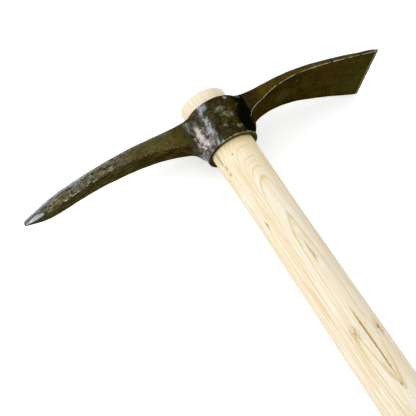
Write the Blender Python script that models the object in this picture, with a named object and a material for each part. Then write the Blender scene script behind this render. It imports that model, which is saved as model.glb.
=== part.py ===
"""Timber mattock: a forged pick-and-blade head that slides on a tapered ash handle.

The tool lies on its side, as it rests when put down. The handle runs along Y, its
flared top towards +Y. The pick points to -X, the digging blade to +X. Z is up.
The origin is at the middle of the bottom of the whole tool. Metres throughout.

Every shape is drawn about the handle's axis, with y = 0 at the upper face of the eye,
and an empty carries the pieces from there to their place over the origin.
"""

import math

import bmesh
import bpy
import numpy as np

MM = 0.001

# Overall sizes
PICK_REACH = 250.5 * MM
BLADE_REACH = 224.5 * MM
BLADE_WIDTH = 83.0 * MM
HANDLE_LENGTH = 900.0 * MM
HANDLE_STANDS_OUT = 23.0 * MM

# Eye: an oval socket, wider at its upper face, where the handle's flare jams in it
EYE_HEIGHT = 55.0 * MM
EYE_TOP_ACROSS = (39.2 * MM, 37.0 * MM)
EYE_BOTTOM_ACROSS = (33.6 * MM, 32.0 * MM)
EYE_BARREL = 0.7 * MM
RIM_CHAMFER = 0.9 * MM
BORE_LIP = 1.0 * MM

# Fit of the handle in the eye, each on the radius
FIT_TOP = 0.3 * MM
FIT_BOTTOM_LONG = 0.9 * MM
FIT_BOTTOM_SHORT = 0.4 * MM

# Handle: distance below the upper face of the eye, long and short half-width of the oval
HANDLE_STATIONS = [
    (-HANDLE_STANDS_OUT, 30.9 * MM, 27.0 * MM),
    (0.0, 30.1 * MM, 26.2 * MM),
    (27.0 * MM, 29.0 * MM, 25.1 * MM),
    (EYE_HEIGHT, 27.7 * MM, 24.1 * MM),
    (85.0 * MM, 26.6 * MM, 23.6 * MM),
    (120.0 * MM, 26.1 * MM, 23.4 * MM),
    (330.0 * MM, 25.7 * MM, 23.1 * MM),
    (560.0 * MM, 24.3 * MM, 21.3 * MM),
    (760.0 * MM, 23.2 * MM, 19.9 * MM),
    (HANDLE_LENGTH - HANDLE_STANDS_OUT, 22.9 * MM, 19.6 * MM),
]
HANDLE_TOP_ROUND = 2.2 * MM
HANDLE_BUTT_ROUND = 7.0 * MM

# Pick arm: distance from the handle's axis, height of its lower and upper face,
# half-width at the lower and upper face, and radius of its long edges.
# The first rows swell in a fillet that runs out on the barrel.
PICK_STATIONS = [
    (24.0 * MM, -49.2 * MM, -0.8 * MM, 21.0 * MM, 26.5 * MM, 6.0 * MM),
    (30.0 * MM, -48.6 * MM, -0.7 * MM, 18.0 * MM, 24.0 * MM, 5.0 * MM),
    (33.0 * MM, -46.4 * MM, -0.6 * MM, 15.8 * MM, 20.8 * MM, 4.2 * MM),
    (36.0 * MM, -42.0 * MM, -0.5 * MM, 14.2 * MM, 17.8 * MM, 3.4 * MM),
    (39.0 * MM, -38.1 * MM, -0.5 * MM, 13.2 * MM, 15.6 * MM, 2.8 * MM),
    (43.0 * MM, -35.3 * MM, -0.6 * MM, 12.5 * MM, 13.7 * MM, 2.3 * MM),
    (49.0 * MM, -32.9 * MM, -0.9 * MM, 12.2 * MM, 12.5 * MM, 2.0 * MM),
    (60.0 * MM, -30.0 * MM, -1.8 * MM, 12.0 * MM, 12.0 * MM, 2.0 * MM),
    (0.32 * PICK_REACH, -26.2 * MM, -3.0 * MM, 12.2 * MM, 11.8 * MM, 2.0 * MM),
    (0.42 * PICK_REACH, -24.3 * MM, -4.7 * MM, 12.4 * MM, 11.9 * MM, 2.0 * MM),
    (0.535 * PICK_REACH, -25.2 * MM, -8.2 * MM, 12.2 * MM, 11.7 * MM, 2.0 * MM),
    (0.64 * PICK_REACH, -27.9 * MM, -12.0 * MM, 11.2 * MM, 10.8 * MM, 2.0 * MM),
    (0.74 * PICK_REACH, -32.9 * MM, -16.8 * MM, 9.9 * MM, 9.6 * MM, 2.1 * MM),
    (0.82 * PICK_REACH, -37.8 * MM, -20.9 * MM, 8.6 * MM, 8.4 * MM, 2.5 * MM),
    (0.885 * PICK_REACH, -41.6 * MM, -25.5 * MM, 7.2 * MM, 7.2 * MM, 3.4 * MM),
    (PICK_REACH - 14.5 * MM, -42.1 * MM, -30.3 * MM, 5.4 * MM, 5.6 * MM, 3.8 * MM),
    (PICK_REACH, -40.7 * MM, -36.2 * MM, 2.4 * MM, 2.4 * MM, 1.5 * MM),
]

# Digging blade: the same columns, out to its cutting edge
BLADE_STATIONS = [
    (22.0 * MM, -53.0 * MM, -0.8 * MM, 20.0 * MM, 31.2 * MM, 5.0 * MM),
    (27.0 * MM, -52.6 * MM, -0.6 * MM, 18.5 * MM, 29.2 * MM, 4.6 * MM),
    (31.0 * MM, -51.5 * MM, -0.2 * MM, 17.2 * MM, 27.0 * MM, 4.0 * MM),
    (35.0 * MM, -46.2 * MM, 0.2 * MM, 17.6 * MM, 24.8 * MM, 3.6 * MM),
    (38.0 * MM, -40.0 * MM, 0.5 * MM, 19.0 * MM, 23.9 * MM, 3.0 * MM),
    (42.0 * MM, -32.8 * MM, 0.7 * MM, 20.4 * MM, 23.1 * MM, 2.5 * MM),
    (47.0 * MM, -26.6 * MM, 1.0 * MM, 21.2 * MM, 22.6 * MM, 2.1 * MM),
    (57.0 * MM, -19.6 * MM, 1.7 * MM, 22.0 * MM, 22.3 * MM, 1.8 * MM),
    (72.0 * MM, -12.9 * MM, 2.9 * MM, 23.7 * MM, 23.1 * MM, 1.5 * MM),
    (0.4 * BLADE_REACH, -8.8 * MM, 3.6 * MM, 25.8 * MM, 25.1 * MM, 1.3 * MM),
    (0.49 * BLADE_REACH, -6.8 * MM, 3.1 * MM, 28.0 * MM, 27.4 * MM, 1.1 * MM),
    (0.585 * BLADE_REACH, -7.7 * MM, 0.7 * MM, 30.5 * MM, 30.0 * MM, 1.0 * MM),
    (0.685 * BLADE_REACH, -11.3 * MM, -3.8 * MM, 33.2 * MM, 32.8 * MM, 0.9 * MM),
    (0.79 * BLADE_REACH, -16.2 * MM, -9.6 * MM, 35.9 * MM, 35.6 * MM, 0.8 * MM),
    (0.895 * BLADE_REACH, -22.1 * MM, -16.8 * MM, 38.8 * MM, 38.6 * MM, 0.7 * MM),
    (BLADE_REACH - 4.0 * MM, -26.6 * MM, -22.8 * MM, 41.1 * MM, 41.0 * MM, 0.6 * MM),
    (BLADE_REACH, -26.9 * MM, -25.3 * MM, BLADE_WIDTH / 2, BLADE_WIDTH / 2, 0.3 * MM),
]

# Ground flat on each side of the pick's point: the flat's place on the arm, how far from
# the middle it passes there, and how fast it draws in towards the point and downwards
GROUND_PLACE = PICK_REACH - 13.5 * MM
GROUND_HEIGHT = -38.0 * MM
GROUND_HALF = 4.4 * MM
GROUND_TAPER = 0.23
GROUND_LEAN = 0.2

# Facets
OVAL_SIDES = 64
ARM_STEP = 7.0 * MM
HANDLE_STEP = 32.0 * MM
CORNER_POINTS = 4
SHARP_ANGLE = math.radians(35.0)

# The handle's axis stands over the origin at half the blade's width
AXIS_PLACE = (
    (PICK_REACH - BLADE_REACH) / 2,
    HANDLE_LENGTH / 2 - HANDLE_STANDS_OUT,
    BLADE_WIDTH / 2,
)


def new_material(name, colour, roughness, metallic):
    material = bpy.data.materials.new(name)
    material.use_nodes = True
    shader = material.node_tree.nodes["Principled BSDF"]
    shader.inputs["Base Color"].default_value = (*colour, 1.0)
    shader.inputs["Roughness"].default_value = roughness
    shader.inputs["Metallic"].default_value = metallic
    material.diffuse_color = (*colour, 1.0)
    return material


def follow(stations, at):
    """Read a table of stations along a smooth curve through them, at the places given."""
    table = np.array(stations)
    x = table[:, 0]
    values = table[:, 1:]
    step = np.diff(x)[:, None]
    rise = np.diff(values, axis=0) / step
    slope = np.empty_like(values)
    slope[0] = rise[0]
    slope[-1] = rise[-1]
    slope[1:-1] = (rise[:-1] * step[1:] + rise[1:] * step[:-1]) / (step[:-1] + step[1:])
    at = np.asarray(at)
    i = np.clip(np.searchsorted(x, at, side="right") - 1, 0, len(x) - 2)
    h = step[i]
    t = ((at - x[i]) / h[:, 0])[:, None]
    return (
        values[i] * (1 + 2 * t) * (1 - t) ** 2
        + slope[i] * h * t * (1 - t) ** 2
        + values[i + 1] * t * t * (3 - 2 * t)
        + slope[i + 1] * h * t * t * (t - 1)
    )


def places(stations, spacing):
    """The stations' own distances, with the runs between them divided evenly."""
    out = []
    for (a, *_), (b, *_) in zip(stations, stations[1:]):
        count = max(1, math.ceil((b - a) / spacing - 0.01))
        out += list(np.linspace(a, b, count, endpoint=False))
    return out + [stations[-1][0]]


def loft(name, rings, collection, material):
    """A closed solid through a row of rings that each have the same count of points."""
    work = bmesh.new()
    rows = [[work.verts.new(point) for point in ring] for ring in rings]
    count = len(rows[0])
    for lower, upper in zip(rows, rows[1:]):
        for k in range(count):
            n = (k + 1) % count
            work.faces.new((lower[k], lower[n], upper[n], upper[k]))
    work.faces.new(list(reversed(rows[0])))
    work.faces.new(rows[-1])
    bmesh.ops.recalc_face_normals(work, faces=work.faces)
    mesh = bpy.data.meshes.new(name)
    work.to_mesh(mesh)
    work.free()
    mesh.materials.append(material)
    mesh.shade_smooth()
    mesh.set_sharp_from_angle(angle=SHARP_ANGLE)
    piece = bpy.data.objects.new(name, mesh)
    collection.objects.link(piece)
    return piece


def oval(y, half_x, half_z):
    turn = np.linspace(0, 2 * math.pi, OVAL_SIDES, endpoint=False)
    return [(half_x * math.cos(a), y, half_z * math.sin(a)) for a in turn]


def arm_section(x, low, high, half_low, half_high, radius):
    """A four-sided bar section across the arm, with rounded long edges."""
    radius = min(radius, 0.45 * (high - low))
    corners = [
        (high - radius, half_high - radius),
        (low + radius, half_low - radius),
        (low + radius, radius - half_low),
        (high - radius, radius - half_high),
    ]
    points = []
    for quarter, (y, z) in enumerate(corners):
        for k in range(CORNER_POINTS):
            turn = math.pi / 2 * (quarter + k / (CORNER_POINTS - 1))
            points.append((x, y + radius * math.cos(turn), z + radius * math.sin(turn)))
    return points


def arm(name, stations, side, collection, material):
    """An arm of the head, forged out to one side (-1 or +1) from inside the eye."""
    reach = places(stations, ARM_STEP)
    shape = follow(stations, reach)
    rings = [arm_section(side * x, *row) for x, row in zip(reach, shape)]
    return loft(name, rings, collection, material)


def ground_flat(name, side, collection, material):
    """A block on one side of the point (-1 or +1) that takes off all beyond the ground flat."""
    rings = []
    for x in (GROUND_PLACE + 25 * MM, GROUND_PLACE - 17 * MM):
        ring = []
        for y in (GROUND_HEIGHT - 14 * MM, GROUND_HEIGHT + 14 * MM):
            inwards = GROUND_TAPER * (x - GROUND_PLACE) - GROUND_LEAN * (y - GROUND_HEIGHT)
            ring.append((-x, y, side * (GROUND_HALF - inwards)))
        outer = side * (GROUND_HALF + 15 * MM)
        ring += [(-x, GROUND_HEIGHT + 14 * MM, outer), (-x, GROUND_HEIGHT - 14 * MM, outer)]
        rings.append(ring)
    return loft(name, rings, collection, material)


def eye_half(y):
    """Half-widths of the eye's outer oval at a height, with its slight barrel shape."""
    down = -y / EYE_HEIGHT
    bulge = EYE_BARREL * math.sin(math.pi * down)
    return [
        top + (bottom - top) * down + bulge
        for top, bottom in zip(EYE_TOP_ACROSS, EYE_BOTTOM_ACROSS)
    ]


def eye_barrel(name, collection, material):
    """The solid barrel round the socket, with a small chamfer at both rims."""
    heights = [0.0, -RIM_CHAMFER]
    heights += list(np.linspace(-9 * MM, 9 * MM - EYE_HEIGHT, 5))
    heights += [RIM_CHAMFER - EYE_HEIGHT, -EYE_HEIGHT]
    rings = []
    for y in heights:
        half_x, half_z = eye_half(y)
        cut = RIM_CHAMFER if y in (heights[0], heights[-1]) else 0.0
        rings.append(oval(y, half_x - cut, half_z - cut))
    return loft(name, rings, collection, material)


def handle_half(y):
    """Half-widths of the handle's oval at a height."""
    return follow(HANDLE_STATIONS, [-y])[0]


def bore(name, collection, material):
    """The socket's hollow: the handle's own taper with its clearance, opened at the lips."""
    past = 6 * MM
    heights = [past, 0.0, -BORE_LIP]
    heights += list(np.linspace(-9 * MM, 9 * MM - EYE_HEIGHT, 5))
    heights += [BORE_LIP - EYE_HEIGHT, -EYE_HEIGHT, -EYE_HEIGHT - past]
    rings = []
    for y in heights:
        inside = min(max(y, -EYE_HEIGHT), 0.0)
        down = -inside / EYE_HEIGHT
        half_x, half_z = handle_half(inside)
        half_x += FIT_TOP + (FIT_BOTTOM_LONG - FIT_TOP) * down
        half_z += FIT_TOP + (FIT_BOTTOM_SHORT - FIT_TOP) * down
        lip = BORE_LIP if y in heights[:2] + heights[-2:] else 0.0
        rings.append(oval(y, half_x + lip, half_z + lip))
    return loft(name, rings, collection, material)


def soft_edge(radius, steps):
    """Distance in from an end face, and loss of half-width, round a quarter circle."""
    turns = [math.pi / 2 * k / steps for k in range(steps + 1)]
    return [(radius * (1 - math.cos(a)), radius * (1 - math.sin(a))) for a in turns]


def handle(name, collection, material):
    """One piece of timber: flared top, oval shaft, softly rounded butt."""
    top = HANDLE_STANDS_OUT
    butt = HANDLE_STANDS_OUT - HANDLE_LENGTH
    rows = [(top - inwards, loss) for inwards, loss in soft_edge(HANDLE_TOP_ROUND, 4)]
    for down in places(HANDLE_STATIONS, HANDLE_STEP):
        if HANDLE_TOP_ROUND < down + top < HANDLE_LENGTH - HANDLE_BUTT_ROUND:
            rows.append((-down, 0.0))
    rows += [(butt + inwards, loss) for inwards, loss in reversed(soft_edge(HANDLE_BUTT_ROUND, 6))]
    rings = []
    for y, loss in rows:
        half_x, half_z = handle_half(y)
        rings.append(oval(y, half_x - loss, half_z - loss))
    return loft(name, rings, collection, material)


def combine(target, other, operation):
    change = target.modifiers.new(operation.title() + " " + other.name, "BOOLEAN")
    change.operation = operation
    change.solver = "EXACT"
    change.object = other


for old in list(bpy.data.objects):
    bpy.data.objects.remove(old, do_unlink=True)

parts = bpy.data.collections.new("Timber mattock")
helpers = bpy.data.collections.new("Shapes joined and cut")
for group in (parts, helpers):
    bpy.context.scene.collection.children.link(group)

lacquered_steel = new_material("Lacquered forged steel", (0.060, 0.045, 0.010), 0.36, 0.35)
ash_wood = new_material("Ash wood", (0.86, 0.78, 0.60), 0.55, 0.0)

tool_axis = bpy.data.objects.new("tool_axis", None)
tool_axis.location = AXIS_PLACE
parts.objects.link(tool_axis)

# The head is one forging: two arms drawn out of a barrel, then the socket is punched and
# the point is ground
head = eye_barrel("head", parts, lacquered_steel)
pick_arm = arm("pick_arm_shape", PICK_STATIONS, -1, helpers, lacquered_steel)
blade = arm("blade_shape", BLADE_STATIONS, 1, helpers, lacquered_steel)
socket = bore("socket_shape", helpers, lacquered_steel)
near_flat = ground_flat("near_flat_shape", 1, helpers, lacquered_steel)
far_flat = ground_flat("far_flat_shape", -1, helpers, lacquered_steel)
combine(head, pick_arm, "UNION")
combine(head, blade, "UNION")
combine(head, socket, "DIFFERENCE")
combine(head, near_flat, "DIFFERENCE")
combine(head, far_flat, "DIFFERENCE")

ash_handle = handle("handle", parts, ash_wood)

for piece in (head, ash_handle, pick_arm, blade, socket, near_flat, far_flat):
    piece.parent = tool_axis
for shape in (pick_arm, blade, socket, near_flat, far_flat):
    shape.hide_render = True
    shape.display_type = "WIRE"
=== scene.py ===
"""A timber mattock lying on a pale studio floor: an ash handle with a forged head slid down it.

Lengths in the tables are millimetres about the handle's axis, y = 0 at the eye's upper face.
"""

import math

import bpy
import numpy as np
from mathutils import Matrix, Vector


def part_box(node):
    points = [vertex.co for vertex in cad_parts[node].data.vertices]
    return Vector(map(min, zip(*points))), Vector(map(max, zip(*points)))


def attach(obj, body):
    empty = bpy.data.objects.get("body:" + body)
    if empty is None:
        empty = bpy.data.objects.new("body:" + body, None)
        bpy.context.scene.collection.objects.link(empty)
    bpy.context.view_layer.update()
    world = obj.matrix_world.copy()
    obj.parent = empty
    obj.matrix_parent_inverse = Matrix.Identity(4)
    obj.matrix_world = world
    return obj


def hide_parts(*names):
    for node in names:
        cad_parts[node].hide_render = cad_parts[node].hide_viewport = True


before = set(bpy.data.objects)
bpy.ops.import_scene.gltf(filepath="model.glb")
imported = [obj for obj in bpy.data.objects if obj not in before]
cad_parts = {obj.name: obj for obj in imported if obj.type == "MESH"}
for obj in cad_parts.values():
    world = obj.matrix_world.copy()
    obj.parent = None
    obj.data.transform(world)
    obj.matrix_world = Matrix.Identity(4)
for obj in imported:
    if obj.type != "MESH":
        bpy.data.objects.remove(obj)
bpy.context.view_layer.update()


# The handle
# One straight length of flat-sawn ash, turned oval and sanded, and left without varnish.
# Its top is flared, so that the head, slid on from the butt, jams there.
MM = 0.001
handle_low, handle_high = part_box("handle")
STANDS_OUT = 23.0
TOOL_AXIS = np.array([
    (handle_low.x + handle_high.x) / 2,
    handle_high.y - STANDS_OUT * MM,
    (handle_low.z + handle_high.z) / 2,
])
HANDLE_LENGTH = (handle_high.y - handle_low.y) / MM
# Distance below the eye's upper face, long and short half-width of the oval
HANDLE_OVALS = [
    (-23, 30.9, 27.0), (0, 30.1, 26.2), (27, 29.0, 25.1), (55, 27.7, 24.1), (85, 26.6, 23.6),
    (120, 26.1, 23.4), (330, 25.7, 23.1), (560, 24.3, 21.3), (760, 23.2, 19.9), (877, 22.9, 19.6),
]
TOP_ROUND = 2.2
BUTT_ROUND = 7.0
# Points round each oval, distance between the ovals, and ovals that close each end
HANDLE_AROUND = 116
HANDLE_STEP = 1.55
END_OVALS = 11
# Distance below the eye's upper face, and how far the growth rings have risen there
RING_RISE = [
    (-23, 20.6), (0, 20.2), (25, 19.4), (43, 18.0), (55, 15.0), (68, 12.0), (90, 8.2),
    (109.5, 5.87), (130, 4.12), (157, 2.6), (200, 1.26), (250, 0.63), (300, 0.61), (340, 1.17),
    (376, 2.66), (400, 4.78), (425, 7.6), (455, 10.0), (500, 11.6), (570, 11.0), (650, 8.4),
    (730, 6.9), (800, 8.2), (850, 10.0), (877, 10.6),
]
# Heights of the ring lines over the axis where they haven't risen
RING_LEVELS = [
    -62, -56, -51.5, -47, -43.5, -39, -35, -31.2, -27, -24, -21, -17.5, -13, -8, -3.5, 1.2, 5.5,
    8.3, 9.9, 11.7, 14.5, 15.3, 16.2, 17.6, 20.8, 23.8, 28.5, 34.6, 39, 43, 48,
]
# Knots that the grain bends round: angle from +X towards +Z, distance below the eye's upper
# face, half-width, half-length, and how far the grain bends
KNOTS = [(118, 303.7, 8.0, 15.0, 1.5), (60, 308.7, 7.0, 13.0, 1.5), (236, 560, 9.0, 20.0, 1.7)]


def follow(stations, at):
    """Read a table along a smooth curve: cubic Hermite pieces with three-point slopes."""
    table = np.array(stations, float)
    x, values = table[:, 0], table[:, 1:]
    step = np.diff(x)[:, None]
    rise = np.diff(values, axis=0) / step
    slope = np.concatenate((
        rise[:1],
        (rise[:-1] * step[1:] + rise[1:] * step[:-1]) / (step[:-1] + step[1:]),
        rise[-1:],
    ))
    at = np.asarray(at, float)
    i = np.clip(np.searchsorted(x, at, side="right") - 1, 0, len(x) - 2)
    h = step[i]
    t = ((at - x[i]) / h[..., 0])[..., None]
    return (
        values[i] * (1 + 2 * t) * (1 - t) ** 2
        + slope[i] * h * t * (1 - t) ** 2
        + values[i + 1] * t * t * (3 - 2 * t)
        + slope[i + 1] * h * t * t * (t - 1)
    )


def skin(name, grid):
    """A closed surface: rows of points joined round, and each end row drawn to its middle."""
    rows, around, _ = grid.shape
    points = np.concatenate((
        grid.reshape(-1, 3),
        [grid[0].mean(0), grid[-1].mean(0)],
    )) * MM + TOOL_AXIS
    this = np.arange(around)
    following = (this + 1) % around
    row = np.arange(rows - 1)[:, None] * around
    below = row + around
    sides = np.stack((row + this, row + following, below + following, below + this), -1).reshape(-1, 4)
    last_row = (rows - 1) * around
    first_middle = rows * around
    last_middle = first_middle + 1
    start = np.stack((following, this, np.full(around, first_middle)), -1)
    end = np.stack((last_row + this, last_row + following, np.full(around, last_middle)), -1)
    mesh = bpy.data.meshes.new(name)
    mesh.from_pydata(points.tolist(), [], sides.tolist() + start.tolist() + end.tolist())
    piece = bpy.data.objects.new(name, mesh)
    bpy.context.scene.collection.objects.link(piece)
    return piece


def read(data, name, width, kind=float):
    """One property of all a mesh's points, edges, loops or faces, as an array."""
    values = np.empty(len(data) * width, kind)
    data.foreach_get(name, values)
    return values.reshape(-1, width) if width > 1 else values


def places_of(mesh):
    """The mesh's points, in millimetres about the handle's axis."""
    return (read(mesh.vertices, "co", 3) - TOOL_AXIS) / MM


def keep_value(mesh, name, values):
    """Store one number for each of the mesh's points, for its material to read."""
    kept = mesh.attributes.new(name, "FLOAT", "POINT")
    kept.data.foreach_set("value", values.astype(np.float32))


def waves(points, length, seed):
    """Smooth unevenness, mostly from -1 to 1: nine sine waves in random directions, added up."""
    pick = np.random.default_rng(seed)
    way = pick.normal(size=(9, 3))
    pitch = (2 * np.pi / length) * pick.uniform(0.6, 1.4, (9, 1))
    way *= pitch / np.linalg.norm(way, axis=1)[:, None]
    return np.sin(points @ way.T + pick.uniform(0, 6.28, 9)).sum(1) / 5


def oval_grid(down, half_x, half_z, around):
    """Ovals about the axis: (half_x * cos, -down, half_z * sin)."""
    turn = np.linspace(0, 2 * np.pi, around, endpoint=False)
    return np.stack((
        half_x[:, None] * np.cos(turn), -down[:, None] + 0 * turn, half_z[:, None] * np.sin(turn),
    ), -1)


def handle_grid():
    """Ovals along the axis, the two ends rounded off by a quarter circle, and each end face
    closed by ovals that shrink to its middle."""
    quarter = np.linspace(0, np.pi / 2, 7)[:-1]
    shrink = np.linspace(0.06, 1, END_OVALS + 1)[:-1]
    top = -STANDS_OUT
    butt = HANDLE_LENGTH - STANDS_OUT
    shaft = np.linspace(top + TOP_ROUND, butt - BUTT_ROUND, int(HANDLE_LENGTH / HANDLE_STEP))
    down = np.concatenate((
        np.full(END_OVALS, top),
        top + TOP_ROUND * (1 - np.cos(quarter)),
        shaft,
        butt - BUTT_ROUND * (1 - np.cos(quarter[::-1])),
        np.full(END_OVALS, butt),
    ))
    loss = np.concatenate((
        np.full(END_OVALS, TOP_ROUND),
        TOP_ROUND * (1 - np.sin(quarter)),
        np.zeros(len(shaft)),
        BUTT_ROUND * (1 - np.sin(quarter[::-1])),
        np.full(END_OVALS, BUTT_ROUND),
    ))
    part = np.concatenate((shrink, np.ones(len(down) - 2 * END_OVALS), shrink[::-1]))
    half = (follow(HANDLE_OVALS, down) - loss[:, None]) * part[:, None]
    return oval_grid(down, half[:, 0], half[:, 1], HANDLE_AROUND)


handle_timber = skin("handle_timber", handle_grid())

# How high each point lies among the growth rings, which lean away towards the blade's side
# lower down, bend round the knots, and are a little uneven
x, y, z = places_of(handle_timber.data).T
down = -y
grown_in = np.clip((down - 90) / 90, 0, 1)
level = z - follow(RING_RISE, down)[:, 0] - 0.2 * grown_in * np.log1p(np.exp(x / 3)) * 3
for angle, place, width, length, bend in KNOTS:
    turn = math.radians(angle)
    middle = follow(HANDLE_OVALS, [place])[0] * (math.cos(turn), math.sin(turn))
    side = (middle[0] * z - middle[1] * x) / np.hypot(*middle)
    near = np.where(x * middle[0] + z * middle[1] > 0, 1, 0)
    fade = np.exp(-(side / width) ** 2 - ((down - place) / length) ** 2)
    level = level + near * bend * 2.3 * (side / width) * fade * np.sign(middle[0])
# On the upper side the arches are rounder at their crowns, near the eye and towards the grip
crowned = np.where(z > 0, np.clip(np.abs(down - 245) / 60 - 1.6, 0, 1), 0)
level = level + 0.017 * x * x * np.exp(-((x - 1) / 9) ** 2) * crowned
level = level + 0.35 * waves(np.stack((x, y * 0.12, z), -1), 26, 3)
ring = np.interp(level, RING_LEVELS, range(len(RING_LEVELS)))
keep_value(handle_timber.data, "ring", ring)


class Wire:
    """A node's output. A sum or a product of wires adds a Math node."""

    def __init__(self, finish, socket):
        self.finish = finish
        self.socket = socket

    def math(self, operation, *others):
        """A Math node on this wire and the others, which may be wires or numbers."""
        sockets = dict(enumerate((self, *others)))
        return self.finish.node("ShaderNodeMath", {"operation": operation}, sockets)

    def beside(self, out):
        """Another output of the same node."""
        return Wire(self.finish, self.socket.node.outputs[out])

    def __add__(self, other):
        return self.math("ADD", other)

    def __sub__(self, other):
        return self.math("SUBTRACT", other)

    def __mul__(self, other):
        return self.math("MULTIPLY", other)

    def __rsub__(self, other):
        return self.math("MULTIPLY_ADD", -1.0, other)

    __radd__ = __add__
    __rmul__ = __mul__


class Finish:
    """A material or world as a board of nodes, with one method that makes them all."""

    def __init__(self, owner):
        owner.use_nodes = True
        self.owner = owner
        self.tree = owner.node_tree
        self.tree.nodes.clear()

    def node(self, kind, settings=None, sockets=None, out=0):
        """A node of this kind: its settings are set first, then its sockets' values or wires."""
        made = self.tree.nodes.new(kind)
        for name, value in (settings or {}).items():
            setattr(made, name, value)
        for name, value in (sockets or {}).items():
            if isinstance(value, Wire):
                self.tree.links.new(value.socket, made.inputs[name])
            else:
                made.inputs[name].default_value = value
        return Wire(self, made.outputs[out]) if made.outputs else None

    def kept(self, name):
        """The number that keep_value stored under this name."""
        return self.node("ShaderNodeAttribute", {"attribute_name": name}, out=2)

    def step(self, value, low, high, to_low=0.0, to_high=1.0):
        """to_low where value is under low, to_high where it is over high, smooth between."""
        return self.node("ShaderNodeMapRange", {"interpolation_type": "SMOOTHSTEP"},
                         {0: value, 1: low, 2: high, 3: to_low, 4: to_high})

    def band(self, value, begin, full, fade, end):
        """1 where value is between full and fade, 0 under begin and over end."""
        return self.step(value, begin, full) * self.step(value, fade, end, 1.0, 0.0)

    def mix(self, factor, a, b):
        settings = {"data_type": "RGBA", "clamp_factor": True}
        return self.node("ShaderNodeMix", settings, {0: factor, 6: a, 7: b}, out=2)

    def vector(self, operation, a, b):
        return self.node("ShaderNodeVectorMath", {"operation": operation}, {0: a, 1: b})

    def noise(self, place, per_metre, detail=2.0, roughness=0.5, twist=0.0):
        """Cloudy noise; per_metre is one number, or three where the pattern is stretched."""
        if not isinstance(per_metre, (int, float)):
            place = self.vector("MULTIPLY", place, per_metre)
            per_metre = 1.0
        return self.node("ShaderNodeTexNoise", {"noise_dimensions": "3D"}, {
            "Vector": place, "Scale": per_metre, "Detail": detail,
            "Roughness": roughness, "Distortion": twist,
        })

    def wander(self, place, per_metre, reach):
        """The place shifted by coloured noise, so that what is drawn there has ragged outlines."""
        shift = self.noise(place, per_metre, 3.0).beside("Color")
        shift = self.vector("SUBTRACT", shift, (0.5, 0.5, 0.5))
        return self.vector("ADD", place, self.vector("MULTIPLY", shift, reach))

    def patch(self, place, middle, size, soft=0.35):
        """1 in the middle of an ellipsoid set in the tool's millimetres, 0 from its rim out."""
        middle = np.array(middle) * MM + TOOL_AXIS
        from_it = self.vector("SUBTRACT", place, middle.tolist())
        scaled = self.vector("MULTIPLY", from_it, [1 / (half * MM) for half in size])
        far = self.node("ShaderNodeVectorMath", {"operation": "LENGTH"}, {0: scaled}, out=1)
        return self.step(far, soft, 1.0, 1.0, 0.0)

    def done(self, surface, kind="ShaderNodeOutputMaterial"):
        """Wire the surface to the output, and hand back the material or world."""
        self.node(kind, {}, {"Surface": surface})
        return self.owner


def paint(red, green, blue):
    """A colour as a screen shows it, 0 to 255, turned into the light it stands for."""
    part = np.array([red, green, blue]) / 255
    light = np.where(part <= 0.04045, part / 12.92, ((part + 0.055) / 1.055) ** 2.4)
    return (*light.tolist(), 1.0)


# Cracks, stains and knots: angle from +X towards +Z, distance below the eye's upper face,
# half-width, half-length, strength and colour
BROWN = (156, 106, 40)
CURLED = (176, 122, 44)
TAN = (216, 180, 120)
GREY = (92, 86, 70)
WOOD_MARKS = [
    (95, 213, 0.9, 17, 0.9, BROWN), (93, 208, 2.6, 22, 0.25, TAN), (90, 216, 0.7, 9, 0.6, BROWN),
    (94.6, 302, 1.2, 30, 0.85, BROWN), (93.6, 328, 1.2, 38, 0.8, BROWN),
    (94, 309, 2.6, 28, 0.15, TAN), (95, 362, 1.2, 2.2, 0.7, BROWN),
    (118, 303.7, 1.6, 3.4, 0.5, BROWN), (121, 307, 1.0, 1.8, 0.6, BROWN),
    (60, 308.7, 2.2, 2.8, 0.9, BROWN), (60, 308.7, 8, 12, 0.85, CURLED),
    (118, 304.5, 7, 13, 0.8, CURLED), (84, 300, 1.1, 1.6, 0.35, BROWN),
    (55, 314, 1.2, 1.8, 0.4, BROWN), (174, 91.5, 1.5, 5.0, 0.35, BROWN),
    (68, -12, 1.6, 16, 0.3, TAN), (236, 560, 2.6, 4.0, 0.6, BROWN),
    (236, 560, 7.0, 12.0, 0.4, TAN), (300, 420, 1.1, 18, 0.4, BROWN),
    (159, 59.5, 3.8, 8, 0.4, GREY), (161, 68.5, 3.2, 7, 0.4, GREY),
    (157, 79, 2.4, 6.5, 0.5, GREY), (156.7, 88, 2.2, 4.4, 0.5, GREY),
    (120, 70.3, 1.1, 1.5, 0.7, GREY), (150, 162.3, 1.1, 7, 0.9, GREY),
]


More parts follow.
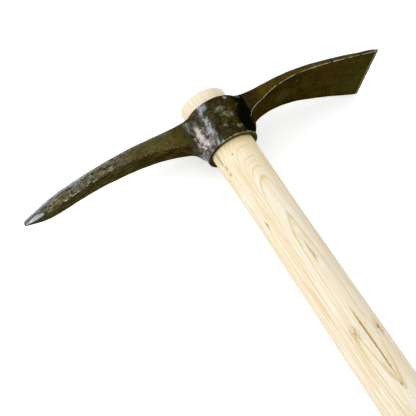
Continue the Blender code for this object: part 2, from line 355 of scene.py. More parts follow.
def ash_finish():
    """Cream latewood, tan porous lines at each growth ring, fine pores, streaks and knots."""
    wood = Finish(bpy.data.materials.new("Sanded ash"))
    place = wood.node("ShaderNodeTexCoord", out=3)
    # Across the handle and up it, in metres in the tool's frame
    sideways = wood.node("ShaderNodeSeparateXYZ", {}, {0: place})
    up = sideways.beside(1)
    below_top = wood.step(up, 0.42, 0.43, 1.0, 0.2)

    # Each growth ring has a dark core line, a porous strip after it, and ten fine lines
    ring = wood.kept("ring")
    ripple = wood.noise(place, (150, 26, 150), 4.0, 0.62)
    within = ((ring + (ripple - 0.5) * 0.16) * 10.0).math("FRACT")
    part = (ring + (ripple - 0.5) * 0.5).math("FRACT")
    core = wood.step(part.math("MINIMUM", 1 - part), 0.0, 0.11, 1.0, 0.0)
    porous = wood.band(part, 0.0, 0.04, 0.0, 0.34)
    fine = wood.step(within.math("MINIMUM", 1 - within), 0.0, 0.3, 1.0, 0.0)
    ring_strength = wood.step(wood.noise(place, (70, 16, 70), 2.0), 0.34, 0.6, 0.5, 1.0)
    ring_strength = ring_strength.math("MAXIMUM", wood.step(up, 0.29, 0.33) * 1.05)
    fine_strength = wood.step(wood.noise(place, (55, 12, 55), 2.0), 0.38, 0.6, 0.35, 1.0)

    # Fibres, streaks and pores run along the handle
    streaks = wood.noise(place, (1100, 14, 1100), 4.0, 0.62)
    stripes = wood.noise(place, (760, 12, 760), 2.0, 0.6)
    fibres = wood.noise(place, (2600, 60, 2600), 3.0, 0.6)
    pores = wood.step(wood.noise(place, (3000, 170, 3000), 1.0), 0.6, 0.72) * (porous + 0.2)
    patches = wood.noise(place, (48, 7, 48), 2.0)

    colour = wood.mix(wood.step(patches, 0.36, 0.64), paint(255, 248, 230), paint(253, 241, 212))
    colour = wood.mix(wood.step(stripes, 0.5, 0.6) * 0.34, colour, paint(240, 216, 168))
    colour = wood.mix(wood.step(stripes, 0.4, 0.47, 1.0, 0.0) * 0.7, colour, paint(255, 254, 248))
    colour = wood.mix(wood.step(streaks, 0.46, 0.6) * 0.3, colour, paint(240, 219, 178))

    # On its flanks the wood is cut across the rings, and shows them as close straight lines
    flank = wood.step((sideways - 0.014).math("ABSOLUTE"), 0.009, 0.017) * below_top
    lines = wood.noise(place, (1400, 15, 1400), 1.0, 0.5)
    dark = flank * wood.step(lines, 0.52, 0.57) * 0.75
    pale = flank * wood.step(lines, 0.41, 0.46, 1.0, 0.0) * 0.8
    colour = wood.mix(dark, colour, paint(228, 196, 146))
    colour = wood.mix(pale, colour, paint(255, 254, 246))
    colour = wood.mix(wood.step(fibres, 0.5, 0.64) * 0.22, colour, paint(234, 212, 164))

    colour = wood.mix(porous * ring_strength * below_top * 0.34, colour, paint(238, 214, 154))
    colour = wood.mix(core * ring_strength * below_top * 0.68, colour, paint(222, 188, 112))
    colour = wood.mix(fine * fine_strength * below_top * 0.34, colour, paint(230, 202, 140))
    # Just below the eye's rim the wood is tinted golden: painted shade and light thrown back from the
    # head, partly rubbed dirt
    colour = wood.mix(wood.step(up, 0.356, 0.371) * below_top * 0.5, colour, paint(240, 212, 156))
    colour = wood.mix(wood.step(up, 0.28, 0.36) * below_top * 0.24, colour, paint(255, 234, 168))
    colour = wood.mix(pores * 0.4, colour, paint(190, 152, 98))

    # Cracks and stains with ragged outlines, and knots whose grain curls
    wandering = wood.wander(place, 420.0, (0.0022, 0.004, 0.0022))
    twist = wood.noise(place, (330, 170, 330), 2.0, 0.5, 1.2)
    curl = wood.step(((twist * 6.0).math("FRACT") - 0.5).math("ABSOLUTE"), 0.04, 0.24, 1.0, 0.0)
    for angle, down, half_width, half_length, strength, tone in WOOD_MARKS:
        long, short = follow(HANDLE_OVALS, [down])[0]
        turn = math.radians(angle)
        middle = (long * math.cos(turn), -down, short * math.sin(turn))
        size = (half_width, half_length, half_width)
        mark = wood.patch(wandering, middle, size) * strength
        if tone == CURLED:
            mark = mark * curl
        colour = wood.mix(mark, colour, paint(*tone))

    height = fibres * 0.5 + streaks * 0.5 - pores * 0.9 - core * 0.35
    bump = wood.node("ShaderNodeBump", {}, {"Strength": 0.35, "Distance": 0.00035, "Height": height})
    shader = wood.node("ShaderNodeBsdfPrincipled", {}, {
        "Base Color": colour, "Roughness": wood.step(streaks, 0.3, 0.7, 0.52, 0.66),
        "Specular IOR Level": 0.25, "Normal": bump,
    })
    return wood.done(shader)


handle_timber.data.materials.append(ash_finish())
handle_timber.data.shade_smooth()
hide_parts("handle")
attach(handle_timber, "handle")


# The head
# One steel forging: the pick and the blade are drawn out from a barrel and the socket is
# punched through it. It is dipped in a thin olive-brown lacquer, and the tip is then ground.
EYE_HEIGHT = 55.0
# The barrel's two half-widths at the top and at the bottom, and how far its wall bulges
EYE_TOP = (39.2, 37.0)
EYE_BOTTOM = (33.6, 32.0)
EYE_BARREL = 0.7
RIM_CHAMFER = 0.9
BORE_LIP = 1.0
# Clearance round the handle at the socket's top, and along and across at its bottom
FIT_TOP = 0.3
FIT_BOTTOM = (0.9, 0.4)
# Points round the barrel and round the socket
BARREL_AROUND = 280
BORE_AROUND = 150
# The two arms: distance from the axis, height of the lower and the upper face, half-width
# at each, radius of the long edges
PICK = [
    (24, -49.2, -0.8, 21.0, 26.5, 6.0), (30, -48.6, -0.7, 18.0, 24.0, 5.0),
    (33, -46.4, -0.6, 15.8, 20.8, 4.2), (36, -42.0, -0.5, 14.2, 17.8, 3.4),
    (39, -38.1, -0.5, 13.2, 15.6, 2.8), (43, -35.3, -0.6, 12.5, 13.7, 2.3),
    (49, -32.9, -0.9, 12.2, 12.5, 2.0), (60, -30.0, -1.8, 12.0, 12.0, 2.0),
    (80.2, -26.2, -3.0, 12.2, 11.8, 2.0), (105.2, -24.3, -4.7, 12.4, 11.9, 2.0),
    (134, -25.2, -8.2, 12.2, 11.7, 2.0), (160.3, -27.9, -12.0, 11.2, 10.8, 2.0),
    (185.4, -32.9, -16.8, 9.9, 9.6, 2.1), (205.4, -37.8, -20.9, 8.6, 8.4, 2.5),
    (221.7, -41.6, -25.5, 7.2, 7.2, 3.4), (236, -42.1, -30.3, 5.4, 5.6, 3.8),
    (250.5, -40.7, -36.2, 2.4, 2.4, 1.5),
]
BLADE = [
    (22, -53.0, -0.8, 20.0, 31.2, 5.0), (27, -52.6, -0.6, 18.5, 29.2, 4.6),
    (31, -51.5, -0.2, 17.2, 27.0, 4.0), (35, -46.2, 0.2, 17.6, 24.8, 3.6),
    (38, -40.0, 0.5, 19.0, 23.9, 3.0), (42, -32.8, 0.7, 20.4, 23.1, 2.5),
    (47, -26.6, 1.0, 21.2, 22.6, 2.1), (57, -19.6, 1.7, 22.0, 22.3, 1.8),
    (72, -12.9, 2.9, 23.7, 23.1, 1.5), (89.8, -8.8, 3.6, 25.8, 25.1, 1.3),
    (110, -6.8, 3.1, 28.0, 27.4, 1.1), (131.3, -7.7, 0.7, 30.5, 30.0, 1.0),
    (153.8, -11.3, -3.8, 33.2, 32.8, 0.9), (177.4, -16.2, -9.6, 35.9, 35.6, 0.8),
    (200.9, -22.1, -16.8, 38.8, 38.6, 0.7), (220.5, -26.6, -22.8, 41.1, 41.0, 0.6),
    (224.5, -26.9, -25.3, 41.5, 41.5, 0.3),
]
# Points within NEAR_SEAM of a join that are closer than WELD become one, and the fillets
# reach FILLET_REACH out. Every join lies less than NEAR_EYE from the handle's axis, along X.
NEAR_SEAM = 2.0
WELD = 0.3
FILLET_REACH = 4.5
NEAR_EYE = 62
# Hammer marks, coarse to fine: depth, length and seed
HAMMERED = [(0.16, 19, 5), (0.08, 7.5, 6), (0.03, 4, 7)]
# From here outwards the pick's tip is ground
TIP_FROM = -205


def bar_grid(stations, side, step, tall, across):
    """A bar along X: at each distance a four-sided section, its corners quarter circles and
    its flats straight between them. side is -1 for the pick and +1 for the blade."""
    begin = stations[0][0]
    end = stations[-1][0]
    reach = np.linspace(begin, end, int((end - begin) / step))
    low, high, half_low, half_high, radius = follow(stations, reach).T
    radius = np.minimum(radius, 0.45 * (high - low))
    corner_y = np.stack((high - radius, low + radius, low + radius, high - radius), -1)
    corner_z = np.stack((
        half_high - radius, half_low - radius, radius - half_low, radius - half_high,
    ), -1)
    turn = (np.arange(4)[:, None] + np.linspace(0, 1, 6)) * np.pi / 2
    arcs = np.stack((
        corner_y[..., None] + radius[:, None, None] * np.cos(turn),
        corner_z[..., None] + radius[:, None, None] * np.sin(turn),
    ), -1)
    section = []
    for corner, count in enumerate((tall, across, tall, across)):
        t = np.linspace(0, 1, count + 2)[1:-1, None]
        leaves = arcs[:, corner, -1:]
        arrives = arcs[:, (corner + 1) % 4, :1]
        section += [arcs[:, corner], leaves * (1 - t) + arrives * t]
    section = np.concatenate(section, 1)
    along = np.broadcast_to(side * reach[:, None, None], (*section.shape[:2], 1))
    grid = np.concatenate((along, section), -1)
    return grid[:, ::-1] if side < 0 else grid


def barrel_halves(t):
    """The barrel's two half-widths: straight from its top, where t is 0, to its bottom,
    where t is 1, plus half a sine wave."""
    bulge = EYE_BARREL * np.sin(np.pi * t)
    return [top + (bottom - top) * t + bulge for top, bottom in zip(EYE_TOP, EYE_BOTTOM)]


def barrel_grid():
    """Ovals of the barrel's half-widths, less a chamfer at each rim."""
    down = np.concatenate((
        [0, 0.3, 0.6],
        np.linspace(RIM_CHAMFER, EYE_HEIGHT - RIM_CHAMFER, 66),
        [EYE_HEIGHT - 0.6, EYE_HEIGHT - 0.3, EYE_HEIGHT],
    ))
    cut = np.clip(RIM_CHAMFER - np.minimum(down, EYE_HEIGHT - down), 0, None)
    half_x, half_z = barrel_halves(down / EYE_HEIGHT)
    return oval_grid(down, half_x - cut, half_z - cut, BARREL_AROUND)


def bore_grid():
    """The handle's own taper with its clearance, widened at both lips."""
    down = np.concatenate((
        [-6, 0, 0.5, BORE_LIP],
        np.linspace(3, EYE_HEIGHT - 3, 24),
        [EYE_HEIGHT - BORE_LIP, EYE_HEIGHT - 0.5, EYE_HEIGHT, EYE_HEIGHT + 6],
    ))
    inside = np.clip(down, 0, EYE_HEIGHT)
    lip = np.clip(BORE_LIP - np.minimum(inside, EYE_HEIGHT - inside), 0, None)
    t = inside / EYE_HEIGHT
    half_x, half_z = [
        values + FIT_TOP + (fit - FIT_TOP) * t + lip
        for values, fit in zip(follow(HANDLE_OVALS, inside).T, FIT_BOTTOM)
    ]
    return oval_grid(down, half_x, half_z, BORE_AROUND)


def join(shapes):
    """One mesh of the first shape with the next two added and the last cut out of it, and
    the points where the added ones meet it."""
    for number, shape in enumerate(shapes):
        faces = shape.data.polygons
        for _ in shapes:
            shape.data.materials.append(None)
        faces.foreach_set("material_index", np.full(len(faces), number))
    for shape, operation in zip(shapes[1:], ("UNION", "UNION", "DIFFERENCE")):
        joined = shapes[0].modifiers.new(shape.name, "BOOLEAN")
        joined.solver = "MANIFOLD"
        joined.operation = operation
        joined.object = shape
    graph = bpy.context.evaluated_depsgraph_get()
    mesh = bpy.data.meshes.new_from_object(shapes[0].evaluated_get(graph))
    for shape in shapes:
        bpy.data.objects.remove(shape)
    # A seam is an edge between a face of the barrel, shape 0, and one of an arm, 1 or 2
    face_shape = read(mesh.polygons, "material_index", 1, int)
    of_loop = np.repeat(face_shape, read(mesh.polygons, "loop_total", 1, int))
    edge_of_loop = read(mesh.loops, "edge_index", 1, int)
    least = np.full(len(mesh.edges), len(shapes))
    most = np.zeros(len(mesh.edges), int)
    np.minimum.at(least, edge_of_loop, of_loop)
    np.maximum.at(most, edge_of_loop, of_loop)
    seam = (least == 0) & ((most == 1) | (most == 2))
    on_seam = np.unique(read(mesh.edges, "vertices", 2, int)[seam])
    return mesh, on_seam


def distance_to(points, others):
    """How far each point is from the nearest of the others. Points out on the arms, which
    are near none of them, get 99 mm."""
    far = np.full(len(points), 99.0)
    near = np.flatnonzero(np.abs(points[:, 0]) < NEAR_EYE)
    square = (points[near] ** 2).sum(1)[:, None] + (others ** 2).sum(1)
    square = square - 2 * points[near] @ others.T
    far[near] = np.sqrt(np.clip(square.min(1), 0, None))
    return far


def ease(points, edges, weight, rounds):
    """Move each point part of the way to the mean of its neighbours, again and again."""
    start, end = edges.T
    count = np.bincount(edges.ravel(), minlength=len(points))[:, None]
    for _ in range(rounds):
        total = np.stack([
            np.bincount(start, points[end, k], len(points))
            + np.bincount(end, points[start, k], len(points))
            for k in range(3)
        ], -1)
        points = points + 0.5 * weight[:, None] * (total / count - points)
    return points


def out_of_barrel(points):
    """About how far each point is out from the barrel's wall."""
    half_x, half_z = barrel_halves(np.clip(-points[:, 1] / EYE_HEIGHT, 0, 1))
    around = np.hypot(points[:, 0] / half_x, points[:, 2] / half_z)
    return (around - 1) * (half_x + half_z) / 2


forged, on_seam = join([
    skin("barrel", barrel_grid()),
    skin("pick", bar_grid(PICK, side=-1, step=0.7, tall=16, across=18)),
    skin("blade", bar_grid(BLADE, side=1, step=1.25, tall=18, across=44)),
    skin("socket", bore_grid()),
])
head_forging = bpy.data.objects.new("head_forging", forged)
bpy.context.scene.collection.objects.link(head_forging)

# Slivers along the joins are welded, and the joins are worked into smooth fillets
places = places_of(forged)
seam_places = places[on_seam]
close = np.flatnonzero(distance_to(places, seam_places) < NEAR_SEAM)
near_seam = head_forging.vertex_groups.new(name="near_seam")
near_seam.add(close.tolist(), 1.0, "REPLACE")
weld = head_forging.modifiers.new("Weld", "WELD")
weld.vertex_group = "near_seam"
weld.merge_threshold = WELD * MM
graph = bpy.context.evaluated_depsgraph_get()
forged = bpy.data.meshes.new_from_object(head_forging.evaluated_get(graph))
head_forging.modifiers.clear()
head_forging.vertex_groups.clear()
head_forging.data = forged
forged.name = "head_forging"
places = places_of(forged)
edges = read(forged.edges, "vertices", 2, int)
fillet = np.clip(1 - distance_to(places, seam_places) / FILLET_REACH, 0, 1)
below_rim = np.clip(0.15 - places[:, 1] / 9, 0, 1)
places = ease(places, edges, fillet * below_rim, 8)
forged.vertices.foreach_set("co", (places * MM + TOOL_AXIS).ravel())

# Hammer marks: shallow hollows everywhere but in the socket
out = out_of_barrel(places)
outside = np.clip((out + 3) / 2, 0, 1)
normals = read(forged.vertices, "normal", 3)
hollows = sum(depth * waves(places, length, seed) for depth, length, seed in HAMMERED) - 0.1
places = places + (outside * hollows)[:, None] * normals

# The tip is ground to a slanting flat on each side, this far out from the middle
x, y, z = places.T
flat_at = 4.4 + 0.23 * (x + 237) + 0.2 * (y + 38)
ground = np.where(x < TIP_FROM, np.abs(z) - flat_at, -9.0)
places[:, 2] = np.sign(z) * (np.abs(z) - np.maximum(ground, 0))
# Its lower part is honed bare, from these distances below the pick's upper face on
crest = follow(PICK, np.clip(-x, PICK[0][0], PICK[-1][0]))[:, 1] - y
honed_below = np.interp(x, (-246, -236, -227), (4.6, 5.9, 10.6))
keep_value(forged, "ground", ground)
keep_value(forged, "honed", np.minimum(ground, (crest - honed_below) * 0.3))
lowest, highest = [(np.array(corner) - TOOL_AXIS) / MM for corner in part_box("head")]
places = np.clip(places, lowest, highest)
forged.vertices.foreach_set("co", (places * MM + TOOL_AXIS).ravel())


def to_arris(places, stations):
    """Distance from the nearest of a bar's four long edges, by its table."""
    reach = np.clip(np.abs(places[:, 0]), stations[0][0], stations[-1][0] - 2)
    low, high, half_low, half_high, radius = follow(stations, reach).T
    inset = radius * 0.3
    y = places[:, 1]
    z = np.abs(places[:, 2])
    return np.minimum(
        np.hypot(y - low - inset, z - half_low + inset),
        np.hypot(y - high + inset, z - half_high + inset),
    )


# Near the barrel the blade's lower edges are only painted, on a curve of their own above the mesh's
# edges: a light line of wear and painted highlight
PAINTED_EDGE_CURVE = [(35, -32.2), (38.2, -27.9), (44.3, -23.3), (50.1, -20.6), (58.3, -17.9), (62, -17.2)]
x, y, z = places.T
over_edge = y - follow(PAINTED_EDGE_CURVE, np.clip(x, 35, 62))[:, 0]
by_root = (x > 33) & (x < 60)
on_root = by_root & (x > 35.5) & (np.abs(z) > np.interp(x, (45, 55), (15, 20.5)))
keep_value(forged, "root_edge", over_edge)
keep_value(forged, "on_root", on_root * 1.0)

# Distance from the rims and the arms' long edges, 9 where there is no edge to wear
rim = np.minimum(np.hypot(out + 0.6, y + 0.6), np.hypot(out + 0.6, y + EYE_HEIGHT - 0.6))
arris = np.where(x < 0, to_arris(places, PICK), to_arris(places, BLADE))
arris = np.where((x > 20) & (x < 60), 9, arris)
arris = np.where(out > 3, arris, np.where(x > -24, rim, 9))
keep_value(forged, "arris", arris)

# How far each point faces the grip, where the lacquer is painted darker as shade. By the blade's root,
# points below the painted edge line count as facing it too, as the mesh has no such face there
under = np.clip(-normals[:, 1], 0, 1)
under = np.where(by_root, np.maximum(under, np.clip(0.4 - over_edge, 0, 1)), under)
keep_value(forged, "under", under)

# Distance from the fold where the pick leaves the barrel, the barrel's foot, and distance
# below the pick's upper edges
keep_value(forged, "crease", x + 41 - np.clip((-y - 6) / 11, 0, 3))
keep_value(forged, "foot", np.clip((-y - EYE_HEIGHT + 0.7) / 0.5, 0, 1) * (out < 1))
keep_value(forged, "crest", np.where((x < -60) & (np.abs(z) > 1), crest, 99.0))


# Places on the barrel where grey-green glints are painted, each an ellipsoid: its middle and its
# half-sizes
GLINT_SPOTS = [
    ((-2, -17, 36), (9, 5, 8)), ((6, -28, 34), (8, 5, 8)), ((-5.5, -38.5, 33.5), (3.5, 3.5, 6)),
    ((10.5, -45, 31.5), (6, 3, 6)), ((-1, -24, 35), (6, 3, 8)),
]
# Painted highlights, glints and reflections on the lacquer, then real brown stains, tints and pale
# scratches: each with strength and colour
PAINTED_HIGHLIGHTS_AND_STAINS = [
    # Painted highlights, glints and reflections: on the barrel, at its foot, over the fold by the pick
    # and near the pick's tip
    ((12.1, -4.0, 34.8), (3.0, 2.2, 4), 0.75, (186, 192, 184)),
    ((30.5, -4.2, 26.7), (8.5, 2.2, 6), 0.7, (82, 98, 94)),
    ((-17.0, -5.5, 33.0), (5.5, 6, 6), 0.6, (172, 184, 200)),
    ((-25, -16, 27), (6, 8, 6), 0.2, (112, 106, 106)),
    ((-17.2, -54, 27.6), (2.2, 1.2, 3), 0.9, (226, 228, 224)),
    ((-33.0, -29, 17.6), (5, 19, 7), 0.72, (238, 226, 214)),
    ((-34.5, -44, 12.5), (2.8, 9, 4), 0.78, (226, 214, 190)),
    ((-40.5, -7.5, 14), (2.4, 4, 3), 0.3, (158, 174, 190)),
    ((-30, -49, 15.4), (2.2, 9, 4), 0.65, (196, 186, 184)),
    ((-29.2, -43.5, 18.6), (2.8, 9, 3.4), 0.62, (196, 182, 176)),
    ((-37.2, -37.5, 10.4), (3.2, 5.5, 3.6), 0.66, (226, 214, 202)),
    ((-217, -39.5, 6.6), (12, 3.5, 4), 0.4, (98, 106, 96)),
    ((-201, -35.4, 8.4), (1.6, 1.6, 2), 1.0, (232, 234, 230)),
    # Brown stains on the barrel
    ((7, -9, 36), (8, 5, 6), 0.65, (46, 25, 4)),
    ((18, -16, 32), (7, 6, 8), 0.6, (42, 22, 4)),
    ((3, -48, 32.5), (8, 4, 6), 0.6, (48, 27, 5)),
    ((14, -36, 32), (5, 4, 8), 0.5, (40, 24, 5)),
    # Tints on the blade, then pale scratches on it
    ((101, -7, -6), (17, 4, 17), 0.3, (94, 92, 60)),
    ((206, -23, -18), (26, 9, 24), 0.45, (68, 66, 24)),
    ((165, -14, 20), (32, 9, 24), 0.36, (74, 46, 9)),
    ((139, -8.7, 31), (1.6, 2, 6), 0.5, (128, 122, 86)),
    ((144, -9.4, 27), (4, 2, 1.6), 0.4, (128, 122, 86)),
    ((120, -6.8, 14), (1.6, 2, 3), 0.5, (118, 114, 80)),
]


def lacquer_finish():
    """Dark olive-brown lacquer, clouded, over scaly steel, with painted highlights and shade; worn
    edges that also stand for their highlights; a ground bare tip.
    """
    coat = Finish(bpy.data.materials.new("Lacquered forging"))
    place = coat.node("ShaderNodeTexCoord", out=3)
    # Along the head, pick to blade, and up the handle, in metres in the tool's frame
    along = coat.node("ShaderNodeSeparateXYZ", {}, {0: place})
    up = along.beside(1)
    arris = coat.kept("arris")
    ground = coat.kept("ground")
    honed = coat.kept("honed")
    root_edge = coat.kept("root_edge")
    on_root = coat.kept("on_root")
    under = coat.kept("under")
    foot = coat.kept("foot")
    crest = coat.kept("crest")
    crease = coat.kept("crease")

    clouds = coat.noise(place, 38.0, 3.0, 0.6)
    blots = coat.noise(place, 120.0, 4.0, 0.66, 0.9)
    tints = coat.noise(place, 95.0, 5.0, 0.7, 0.6)
    grit = coat.noise(place, 620.0, 3.0, 0.65)
    specks = coat.noise(place, 430.0, 2.0, 0.6, 0.5)
    uneven = coat.noise(place, 260.0, 3.0, 0.7)
    side = coat.step(under, 0.2, 0.5, 1.0, 0.0)
    on_pick = coat.step(along, -0.045, -0.02, 1.0, 0.0)
    on_eye = coat.band(along, -0.03, -0.012, 0.048, 0.056)

    # Olive-brown and clouded, with painted light and shade by which way each face turns
    colour = coat.mix(coat.step(clouds, 0.4, 0.6), paint(73, 60, 7), paint(56, 42, 4))
    colour = coat.mix(on_pick * 0.85, colour, paint(92, 81, 8))
    colour = coat.mix(coat.step(along, 0.11, 0.2) * 0.5, colour, paint(82, 76, 28))
    # Painted light: on the blade's outer part, the faces not turned towards the grip are painted a
    # brighter gold, as lit
    colour = coat.mix(coat.step(along, 0.06, 0.08) * side * 0.6, colour, paint(92, 72, 8))
    colour = coat.mix(coat.step(tints, 0.5, 0.55) * (0.4 + on_eye * 0.55), colour, paint(38, 20, 2))
    colour = coat.mix(coat.step(blots, 0.52, 0.57) * (0.28 + on_eye * 0.6), colour, paint(18, 13, 2))
    colour = coat.mix(coat.step(blots, 0.4, 0.45, 1.0, 0.0) * on_eye * 0.8, colour, paint(94, 84, 8))
    # Painted shade: the faces turned towards the grip are painted darker; the whole eye is darker too
    colour = coat.mix((1 - side) * (0.3 + on_pick * 0.25) + on_eye * 0.34, colour, paint(34, 25, 5))

    # The root of the blade is redder and darker; the pick's faces turned towards the grip are browner
    # and painted darker as shade
    root_side = coat.band(along, 0.05, 0.056, 0.062, 0.08) * side
    colour = coat.mix(root_side * coat.step(tints, 0.42, 0.48) * 0.85, colour, paint(44, 27, 4))
    pick_below = coat.band(along, -0.11, -0.06, -0.03, -0.02) * (1 - side)
    colour = coat.mix(pick_below * 0.6, colour, paint(52, 33, 6))
    root_all = coat.band(along, 0.05, 0.056, 0.058, 0.078)
    colour = coat.mix(root_all * 0.45, colour, paint(42, 26, 5))

    # Peppered dark and pale all over, and streaked lengthwise under the pick
    peppered = coat.noise(place, 1050.0, 1.0)
    dark = coat.step(peppered, 0.53, 0.6) * (0.6 + on_eye * 0.3)
    pale = coat.step(peppered, 0.39, 0.46, 1.0, 0.0) * (0.14 + on_eye * 0.1)
    colour = coat.mix(dark, colour, paint(18, 12, 2))
    colour = coat.mix(pale, colour, paint(116, 106, 36))
    streaked = coat.noise(place, (60, 420, 420), 3.0, 0.6)
    below = (1 - side) * coat.step(along, -0.22, -0.19) * on_pick
    dark = below * coat.step(streaked, 0.5, 0.6) * 0.6
    pale = below * coat.step(streaked, 0.36, 0.44, 1.0, 0.0) * 0.4
    colour = coat.mix(dark, colour, paint(24, 20, 4))
    colour = coat.mix(pale, colour, paint(104, 98, 50))

    # Patches of painted highlight and reflection, and of real stains and scratches; then painted
    # grey-green glints in clusters
    wandering = coat.wander(place, 300.0, (0.008, 0.008, 0.008))
    for middle, size, strength, tone in PAINTED_HIGHLIGHTS_AND_STAINS:
        mark = coat.patch(wandering, middle, size, 0.2) * strength
        colour = coat.mix(mark, colour, paint(*tone))
    # Painted glints: grey-green flecks in clusters on the barrel
    glint_clusters = 0.04
    for middle, size in GLINT_SPOTS:
        glint_clusters = coat.patch(wandering, middle, size) + glint_clusters
    painted_glints = coat.step(specks + blots * 0.3, 0.59, 0.65) * glint_clusters.math("MINIMUM", 1.0)
    colour = coat.mix(painted_glints * side * 0.56, colour, paint(146, 152, 124))

    # Painted shade: the barrel's side towards the blade is painted nearly black, where it is turned
    # from the lamps and mirrors only dark
    ragged = along + (blots - 0.5) * 0.02 - coat.step(up, 0.404, 0.412) * 0.009
    painted_shade = coat.step(ragged, 0.0255, 0.0305) * coat.step(along, 0.049, 0.054, 1.0, 0.0)
    painted_shade = painted_shade * coat.step(under, 0.5, 0.8, 1.0, 0.3) * (1 - foot)
    painted_shade = painted_shade * (1 - coat.patch(wandering, (30.5, -3.8, 26.5), (9, 2.8, 6), 0.6))
    colour = coat.mix(painted_shade * 0.96, colour, paint(5, 8, 3))

    # The barrel's lower rim is paler
    ring = foot * coat.step(along, -0.014, 0.0) * coat.step(along, 0.028, 0.04, 1.0, 0.4)
    colour = coat.mix(ring, coat.mix(foot, colour, paint(48, 42, 12)), paint(84, 75, 22))

    # Scale swirled by the hammer on the pick, and along its upper edge a bluish line of painted
    # reflection
    turned = coat.node("ShaderNodeVectorRotate", {"rotation_type": "Z_AXIS"}, {
        "Vector": place, "Angle": -0.4,
    })
    curls = coat.noise(turned, (40, 290, 180), 2.0, 0.5, 0.4)
    loops = (curls * 9.0).math("FRACT")
    line = coat.step((loops - 0.5).math("ABSOLUTE"), 0.04, 0.28, 1.0, 0.0)
    line = line * coat.step(blots, 0.36, 0.54)
    grain = coat.noise(turned, (90, 880, 560), 2.0, 0.5, 0.25)
    swirled = coat.step(along, -0.135, -0.085, 1.0, 0.25) * coat.step(along, -0.06, -0.04, 1.0, 0.0)
    swirled = swirled * coat.step(clouds, 0.3, 0.42, 0.5, 1.0) * (side * 0.85 + 0.15)
    colour = coat.mix(swirled * coat.step(grain, 0.44, 0.52, 0.75, 0.0), colour, paint(34, 28, 8))
    colour = coat.mix(swirled * coat.step(grain, 0.5, 0.62) * 0.32, colour, paint(144, 142, 116))
    colour = coat.mix(line * swirled * 0.5, colour, paint(194, 192, 184))
    # Painted reflection: the bluish line along the pick's upper edge
    painted_sheen = crest + (uneven - 0.5) * 4.0
    painted_sheen = coat.step(painted_sheen, 3.0, 4.6, 1.0, 0.0) * coat.step(along, -0.17, -0.12, 1.0, 0.15)
    painted_sheen = painted_sheen * coat.step(crest, 0.7, 1.6) * coat.step(uneven + blots, 0.86, 1.06, 0.25, 1.0)
    colour = coat.mix(painted_sheen * side * 0.7, colour, paint(182, 190, 204))

    # Folds of the forging where the pick leaves the barrel, their ripples flecked pale with painted
    # reflection and dark with painted crease shade
    fold = coat.step((crease + (uneven - 0.5) * 2.4).math("ABSOLUTE"), 0.0, 3.0, 1.0, 0.0) * side
    ripple = coat.noise(place, (900, 160, 500), 2.0, 0.6, 0.6)
    colour = coat.mix(fold * coat.step(ripple, 0.5, 0.57) * 0.75, colour, paint(158, 166, 172))
    colour = coat.mix(fold * coat.step(ripple, 0.4, 0.48, 1.0, 0.0) * 0.6, colour, paint(24, 20, 6))

    # Long edges worn to bare steel, painted light, which also stands for their highlights; and the tip
    # ground
    dashed = 1 - coat.step(along, -0.174, -0.168) * coat.step(specks, 0.44, 0.54, 1.0, 0.0)
    edged = coat.step(along, -0.192, -0.189) * coat.step(along, -0.135, -0.11, 1.0, 0.4) * dashed
    edged = edged * coat.step(along, -0.034, -0.03, 1.0, 0.0) + coat.step(along, -0.009, -0.005)
    wear_and_edge_sheen = coat.step(arris + (uneven - 0.5) * 1.8, 0.15, 0.5, 1.0, 0.0) * edged
    off_line = (root_edge + (uneven - 0.5) * 1.8).math("ABSOLUTE")
    broken = coat.step(uneven, 0.42, 0.52, 0.35, 1.0)
    root_line = coat.step(off_line, 0.15, 0.5, 1.0, 0.0) * coat.step(on_root, 0.3, 0.7) * broken
    wear_and_edge_sheen = wear_and_edge_sheen + root_line
    colour = coat.mix(wear_and_edge_sheen * 0.8, colour, paint(198, 196, 182))
    sharpened = coat.band(along, 0.2339, 0.2344, 0.2352, 0.2356)
    colour = coat.mix(sharpened * 0.7, colour, paint(168, 162, 140))
    bevel = coat.step(ground, -0.6, 0.0) * coat.step(along, -0.216, -0.210, 1.0, 0.0)
    colour = coat.mix(bevel * 0.75, colour, paint(108, 114, 108))
    rim_line = coat.band(honed, -0.5, -0.36, -0.12, -0.04)
    colour = coat.mix(rim_line * 0.7, colour, paint(34, 34, 26))
    bare = coat.step(honed + (grit - 0.5) * 0.16, -0.02, 0.04)
    scratches = coat.noise(place, (700, 120, 120), 3.0, 0.6)
    steel = coat.mix(scratches, paint(194, 196, 196), paint(244, 245, 245))
    colour = coat.mix(bare, colour, steel)

    roughness = coat.step(blots, 0.36, 0.66, 0.42, 0.6)
    height = clouds * 0.5 + blots * 0.6 + uneven * 0.28 + grit * 0.08 + line * swirled * 0.3
    height = height + fold * ripple * 0.9
    bump = coat.node("ShaderNodeBump", {}, {"Strength": 0.7, "Distance": 0.001, "Height": height})

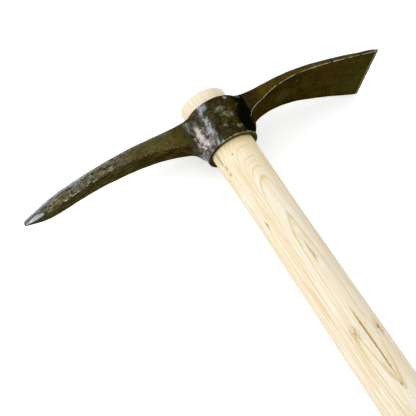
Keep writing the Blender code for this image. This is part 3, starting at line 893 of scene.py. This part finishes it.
    # Glossy on the barrel's side towards the pick, duller on the arms, in the fold and where rubbed
    glossy = coat.step(along, 0.022, 0.034, 1.0, 0.06) * coat.step(under, 0.6, 0.95, 1.0, 0.02)
    dulled = coat.patch(wandering, (-19, -15, 30), (9, 5, 9), 0.5) * 0.75
    by_crease = coat.step((crease - 0.5).math("ABSOLUTE"), 2.8, 5.0, 1.0, 0.0)
    by_crease = by_crease * coat.step(up, 0.382, 0.389)
    dulled = dulled.math("MAXIMUM", by_crease * coat.step(ripple, 0.46, 0.6, 0.92, 0.4))
    dulled = dulled.math("MAXIMUM", coat.step(along, 0.0, 0.012, 0.0, 0.95))
    dulled = dulled.math("MAXIMUM", coat.step(along, -0.05, -0.034, 0.85, 0.0))
    glossy = glossy * coat.step(blots + (ripple - 0.5) * 0.4, 0.42, 0.58, 1.0, 0.2)
    glossy = glossy * (1 - bare) * (1 - painted_shade) * (1 - dulled)
    shader = coat.node("ShaderNodeBsdfPrincipled", {}, {
        "Base Color": colour, "Metallic": bare, "Roughness": roughness, "Specular IOR Level": 0.0,
        "Coat Weight": glossy, "Coat Roughness": 0.2, "Coat IOR": 2.6, "Normal": bump,
    })
    return coat.done(shader)


forged.materials.clear()
forged.materials.append(lacquer_finish())
forged.polygons.foreach_set("material_index", np.zeros(len(forged.polygons), int))
forged.shade_smooth()
forged.set_sharp_from_angle(angle=math.radians(38))
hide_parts("head")
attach(head_forging, "head")


# The floor and the light
# A pale studio floor under a white sky. A long cool softbox stands to the pick's side of the
# head, with a warmer one low beside it, and their streaks show in the lacquer.
FLOOR_HALF = 6.0
SOFTBOX_AWAY = 0.9
floor_mesh = bpy.data.meshes.new("studio_floor")
corners = [(x * FLOOR_HALF, y * FLOOR_HALF, 0) for x, y in ((-1, -1), (1, -1), (1, 1), (-1, 1))]
floor_mesh.from_pydata(corners, [], [(0, 1, 2, 3)])
studio_floor = bpy.data.objects.new("studio_floor", floor_mesh)
bpy.context.scene.collection.objects.link(studio_floor)
floor = Finish(bpy.data.materials.new("White floor"))
camera_ray = floor.node("ShaderNodeLightPath")
glossy_ray = camera_ray.beside("Is Glossy Ray")
through_ray = camera_ray.beside("Is Transmission Ray")
background = (camera_ray + glossy_ray + through_ray).math("MINIMUM", 1.0)
matt = floor.node("ShaderNodeBsdfDiffuse", {}, {"Color": (0.8, 0.8, 0.8, 1.0)})
glow = floor.node("ShaderNodeEmission", {}, {"Color": (1, 1, 1, 1), "Strength": background * 0.48})
floor_mesh.materials.append(floor.done(floor.node("ShaderNodeAddShader", {}, {0: matt, 1: glow})))

studio_world = bpy.data.worlds.new("Studio")
bpy.context.scene.world = studio_world
sky = Finish(studio_world)
camera_ray = sky.node("ShaderNodeLightPath")
glossy_ray = camera_ray.beside("Is Glossy Ray")
through_ray = camera_ray.beside("Is Transmission Ray")
toward = sky.node("ShaderNodeTexCoord")
height = sky.node("ShaderNodeSeparateXYZ", {}, {0: toward}, out=2)
mirrored = sky.step(height, 0.12, 0.35, 0.7, 0.02)
plain = (camera_ray + through_ray).math("MINIMUM", 1.0)
brightness = plain + (1 - plain) * (glossy_ray * mirrored + (1 - glossy_ray) * 0.84)
white = sky.node("ShaderNodeBackground", {}, {"Color": (1, 1, 1, 1), "Strength": brightness})
sky.done(white, "ShaderNodeOutputWorld")


def softbox(name, start, end, width, brightness, colour):
    """A lamp from one direction to another, both seen from the eye of the head, facing it."""
    start, end = [np.array(way) / np.linalg.norm(way) * SOFTBOX_AWAY for way in (start, end)]
    lamp = bpy.data.lights.new(name, "AREA")
    lamp.shape = "RECTANGLE"
    lamp.size = width
    lamp.size_y = np.linalg.norm(end - start)
    lamp.energy = brightness * math.pi * lamp.size * lamp.size_y
    lamp.color = colour
    stand = bpy.data.objects.new(name, lamp)
    bpy.context.scene.collection.objects.link(stand)
    stand.location = TOOL_AXIS + (start + end) / 2
    away = Vector(start + end).normalized()
    upright = Vector(end - start).normalized()
    stand.rotation_euler = Matrix((upright.cross(away), upright, away)).transposed().to_euler()


softbox("softbox_left", (-0.52, 0.46, 0.72), (-0.86, -0.52, 0.16), 0.16, 3.1, (0.84, 0.92, 1.0))
softbox("softbox_low", (-0.89, 0.25, 0.38), (-0.93, -0.16, 0.32), 0.18, 3.3, (1.0, 0.93, 0.9))


# The camera
# It looks down at the head from over the handle, as the photograph does. Its place, turn and
# lens come from a fit to the photographed outlines.
camera = bpy.data.objects.new("camera", bpy.data.cameras.new("camera"))
bpy.context.scene.collection.objects.link(camera)
camera.data.sensor_fit = "HORIZONTAL"
camera.data.sensor_width = 36.0
camera.data.lens = 44.738
camera.data.clip_start = 0.01
camera.data.clip_end = 50.0
camera.location = (-0.21742, 0.09638, 0.54789)
camera.rotation_euler = [math.radians(turn) for turn in (28.286, -4.146, -29.082)]
bpy.context.scene.camera = camera
bpy.context.scene.view_settings.view_transform = "Standard"
